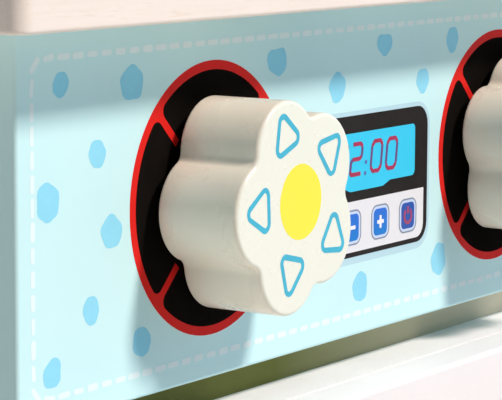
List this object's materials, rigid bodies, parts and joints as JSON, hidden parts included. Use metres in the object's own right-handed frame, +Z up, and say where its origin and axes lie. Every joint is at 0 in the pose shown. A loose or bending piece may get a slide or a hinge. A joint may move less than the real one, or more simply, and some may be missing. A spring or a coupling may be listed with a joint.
{
  "type": "toy oven",
  "caption": "Table-top wooden toy oven: spotted blue control panel with flower knobs and printed dials, drop-down white door with window and rack, and a pale wood hob.",
  "frame": {"origin": "on the table, under the middle of the oven's overall box", "axes": "+X is the oven's right side seen from the front, +Y points to the back, +Z up"},
  "size_m": [0.33, 0.229, 0.315],
  "materials": {
    "white_paint": "satin white lacquer on board",
    "blue_paint": "satin pale blue lacquer with a printed pattern",
    "cream_paint": "gloss cream lacquer on turned and milled wood",
    "burner_paint": "satin black lacquer",
    "birch": "clear-lacquered pale wood",
    "back_board": "white-faced hardboard",
    "clear_acrylic": "clear acrylic sheet",
    "felt": "pressed wool felt",
    "zinc_steel": "zinc-plated steel",
    "magnet": "ferrite magnet",
    "catch_plastic": "moulded white plastic"
  },
  "bodies": {
    "root": {"left_side_panel": "white_paint", "right_side_panel": "white_paint", "base_panel": "white_paint", "oven_ceiling": "white_paint", "back_panel": "back_board", "feet": "birch", "corner_blocks": "birch", "worktop": "birch", "left_burner_disc": "burner_paint", "right_burner_disc": "burner_paint", "control_panel": "blue_paint", "panel_batten": "birch", "door_pins": "zinc_steel", "catch_body": "catch_plastic", "catch_magnet": "magnet", "shelf_runners": "birch", "rack_rails": "birch", "rack_slats": "birch", "carcass_screws": "zinc_steel", "foot_screws": "zinc_steel", "back_panel_screws": "zinc_steel", "worktop_screws": "zinc_steel", "burner_screws": "zinc_steel", "panel_top_screws": "zinc_steel", "panel_bottom_screws": "zinc_steel", "catch_screws": "zinc_steel", "runner_screws": "zinc_steel"},
    "door": {"door_panel": "white_paint", "window_pane": "clear_acrylic", "window_bead": "white_paint", "handle_bar": "birch", "handle_posts": "birch", "bead_screws": "zinc_steel", "handle_screws": "zinc_steel", "striker_plate": "zinc_steel", "striker_screw": "zinc_steel"},
    "left_knob": {"left_knob": "cream_paint", "left_knob_axle": "birch", "left_knob_washer": "felt", "left_friction_washer": "felt", "left_retaining_disc": "birch", "left_axle_screw": "zinc_steel"},
    "right_knob": {"right_knob": "cream_paint", "right_knob_axle": "birch", "right_knob_washer": "felt", "right_friction_washer": "felt", "right_retaining_disc": "birch", "right_axle_screw": "zinc_steel"}
  },
  "joints": [
    {"name": "door_hinge", "type": "hinge", "parent": "root", "child": "door", "pos_m": [0, -0.0845, 0.0333], "axis": [1, 0, 0], "range_deg": [0, 90]},
    {"name": "left_knob_turn", "type": "hinge", "parent": "root", "child": "left_knob", "pos_m": [-0.0713, -0.0725, 0.2547], "axis": [0, 1, 0], "continuous": true},
    {"name": "right_knob_turn", "type": "hinge", "parent": "root", "child": "right_knob", "pos_m": [0.0713, -0.0725, 0.2547], "axis": [0, 1, 0], "continuous": true}
  ]
}
